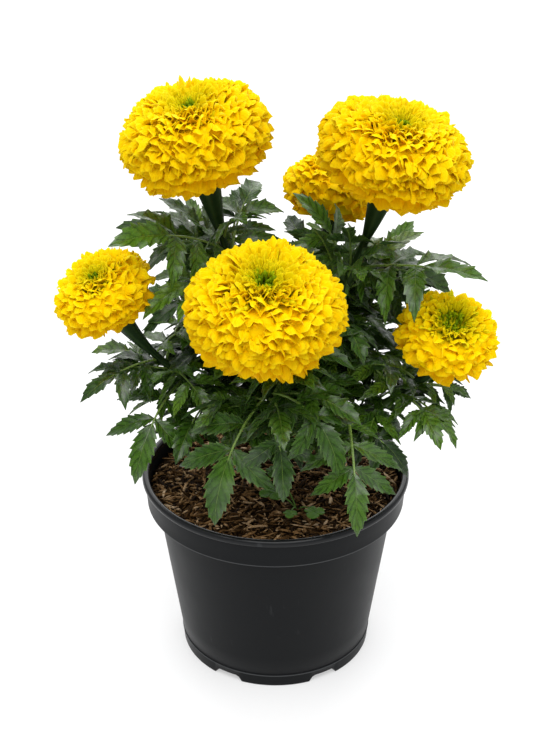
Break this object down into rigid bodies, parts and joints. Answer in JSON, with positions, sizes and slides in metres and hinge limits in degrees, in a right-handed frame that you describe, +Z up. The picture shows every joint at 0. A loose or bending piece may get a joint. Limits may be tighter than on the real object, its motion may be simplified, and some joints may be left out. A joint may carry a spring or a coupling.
{
  "type": "potted marigold",
  "caption": "Marigold with yellow pompon blooms and toothed compound leaves, growing in a round black nursery pot of bark mix.",
  "frame": {"origin": "centre of the pot's foot ring, on the surface that it stands on", "axes": "+Z up along the pot's axis; the picture looks along +Y, and +X is to its right"},
  "size_m": [0.2295, 0.1969, 0.3357],
  "materials": {
    "pot_plastic": "satin black moulded plastic with a glossier rolled rim and faint scuffs",
    "bark_mix": "shredded dark brown bark and coir, damp and matt, with a few pale chips",
    "leaf_and_stem": "deep green leaf with a soft blue-grey sheen, yellow-green ribs and impressed veins",
    "petal": "velvety bright yellow petal with paler waved edges and deeper orange-yellow folds",
    "eye_floret": "yellow-green unopened florets in a tight button",
    "seedling_leaf": "fresh mid-green thin leaf"
  },
  "bodies": {
    "root": {"pot": "pot_plastic", "potting_mix": "bark_mix", "clover_seedling": "seedling_leaf", "main_stem": "leaf_and_stem", "branch_top_left": "leaf_and_stem", "branch_front": "leaf_and_stem", "branch_left": "leaf_and_stem", "branch_right": "leaf_and_stem", "branch_back": "leaf_and_stem", "shoot_front_right": "leaf_and_stem", "shoot_left_back": "leaf_and_stem", "shoot_right_back": "leaf_and_stem", "petals_front": "petal", "eye_front": "eye_floret", "petals_top_left": "petal", "eye_top_left": "eye_floret", "petals_top_right": "petal", "eye_top_right": "eye_floret", "petals_left": "petal", "eye_left": "eye_floret", "petals_right": "petal", "eye_right": "eye_floret", "petals_back": "petal", "eye_back": "eye_floret"}
  },
  "joints": []
}
